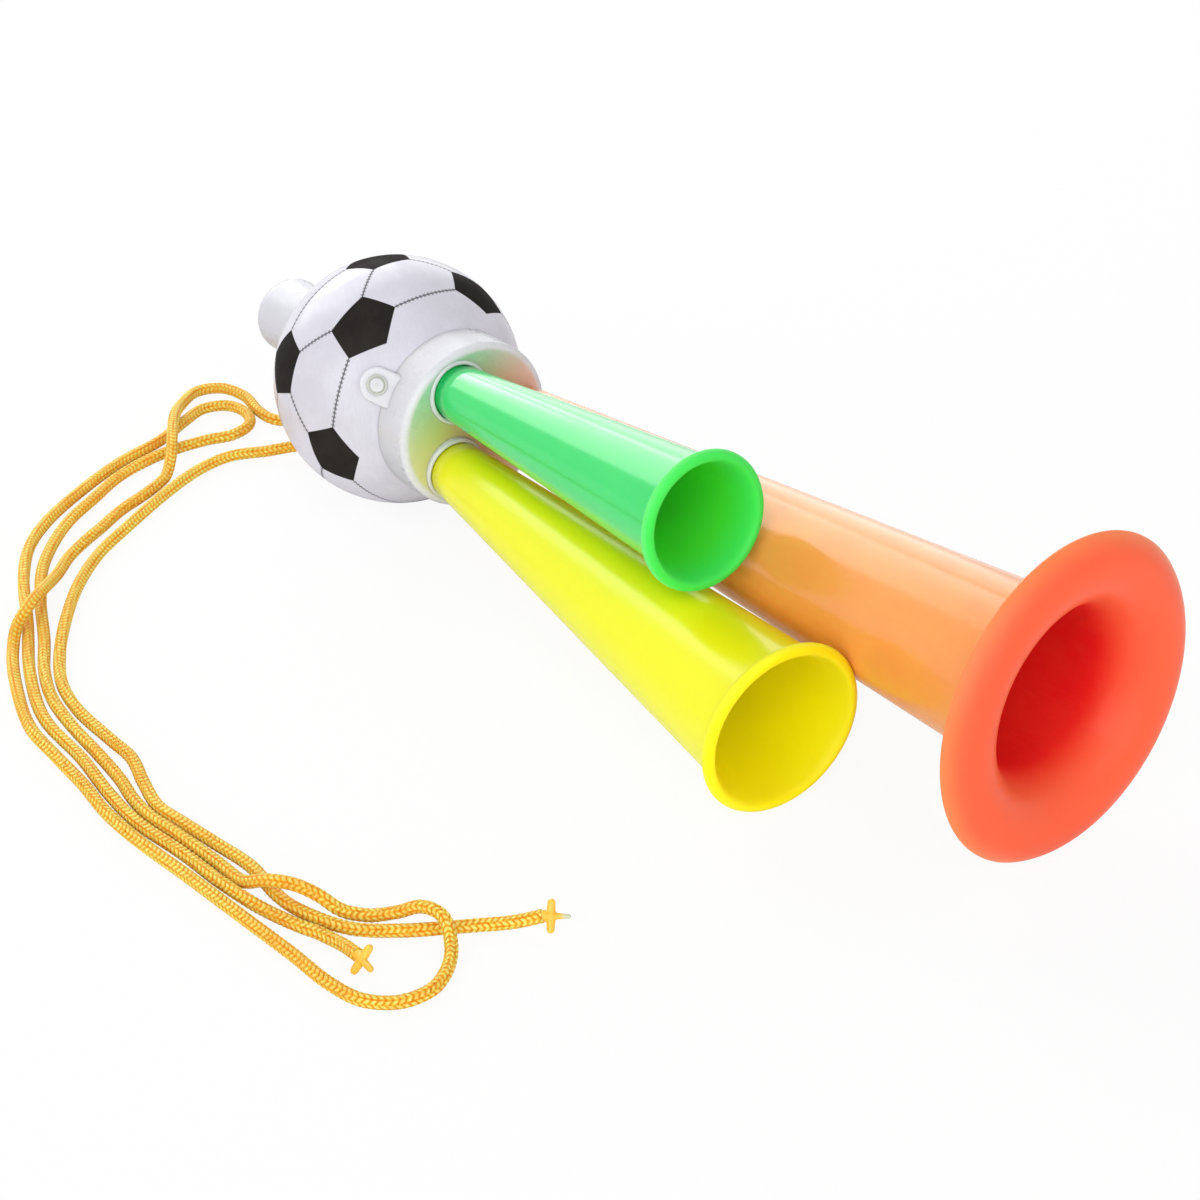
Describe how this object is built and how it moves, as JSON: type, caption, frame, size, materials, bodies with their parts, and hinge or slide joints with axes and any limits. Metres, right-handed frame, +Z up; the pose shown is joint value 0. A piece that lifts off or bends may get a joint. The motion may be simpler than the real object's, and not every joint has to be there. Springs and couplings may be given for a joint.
{
  "type": "stadium horn",
  "caption": "Toy stadium horn: a football-patterned ball with a mouthpiece feeds tapered trumpet tubes through reeds, and carries a neck cord with moulded tips.",
  "frame": {"origin": "centre of the horn's base, on the floor it lies on, without the cord", "axes": "+X the way the horn blows, from the mouthpiece to the wide bell, +Z up from the floor"},
  "size_m": [0.3081, 0.2047, 0.0779],
  "materials": {
    "ball_print": "gloss, printed",
    "milky": "milky gloss",
    "green": "gloss",
    "yellow": "gloss",
    "orange": "gloss",
    "reed": "satin",
    "tongue": "satin",
    "cord": "braided",
    "cord_tip": "satin"
  },
  "bodies": {
    "horn": {"ball_front_shell": "ball_print", "ball_rear_shell": "ball_print", "collar": "milky", "collar_peg_near": "milky", "collar_peg_far": "milky", "mouthpiece": "milky", "green_tube": "green", "yellow_tube": "yellow", "orange_tube": "orange", "green_reed_body": "reed", "yellow_reed_body": "reed", "orange_reed_body": "reed", "green_reed_clip": "reed", "yellow_reed_clip": "reed", "orange_reed_clip": "reed", "cord_short": "cord", "cord_long": "cord", "cord_short_tip": "cord_tip", "cord_long_tip": "cord_tip"},
    "green_reed": {"green_reed_tongue": "tongue"},
    "yellow_reed": {"yellow_reed_tongue": "tongue"},
    "orange_reed": {"orange_reed_tongue": "tongue"}
  },
  "joints": [
    {"name": "green_reed_flutter", "type": "hinge", "parent": "horn", "child": "green_reed", "pos_m": [-0.06733, -0.01889, 0.04179], "axis": [0.017, -0.9155, -0.402], "range_deg": [-2.5, 2], "stiffness_Nm_per_rad": 0.001},
    {"name": "yellow_reed_flutter", "type": "hinge", "parent": "horn", "child": "yellow_reed", "pos_m": [-0.06666, -0.02064, 0.02586], "axis": [0.025, 0.8062, -0.5911], "range_deg": [-2.5, 2], "stiffness_Nm_per_rad": 0.001},
    {"name": "orange_reed_flutter", "type": "hinge", "parent": "horn", "child": "orange_reed", "pos_m": [-0.06693, -0.00595, 0.0323], "axis": [-0.0419, 0.1093, 0.9931], "range_deg": [-2.5, 2], "stiffness_Nm_per_rad": 0.001}
  ]
}
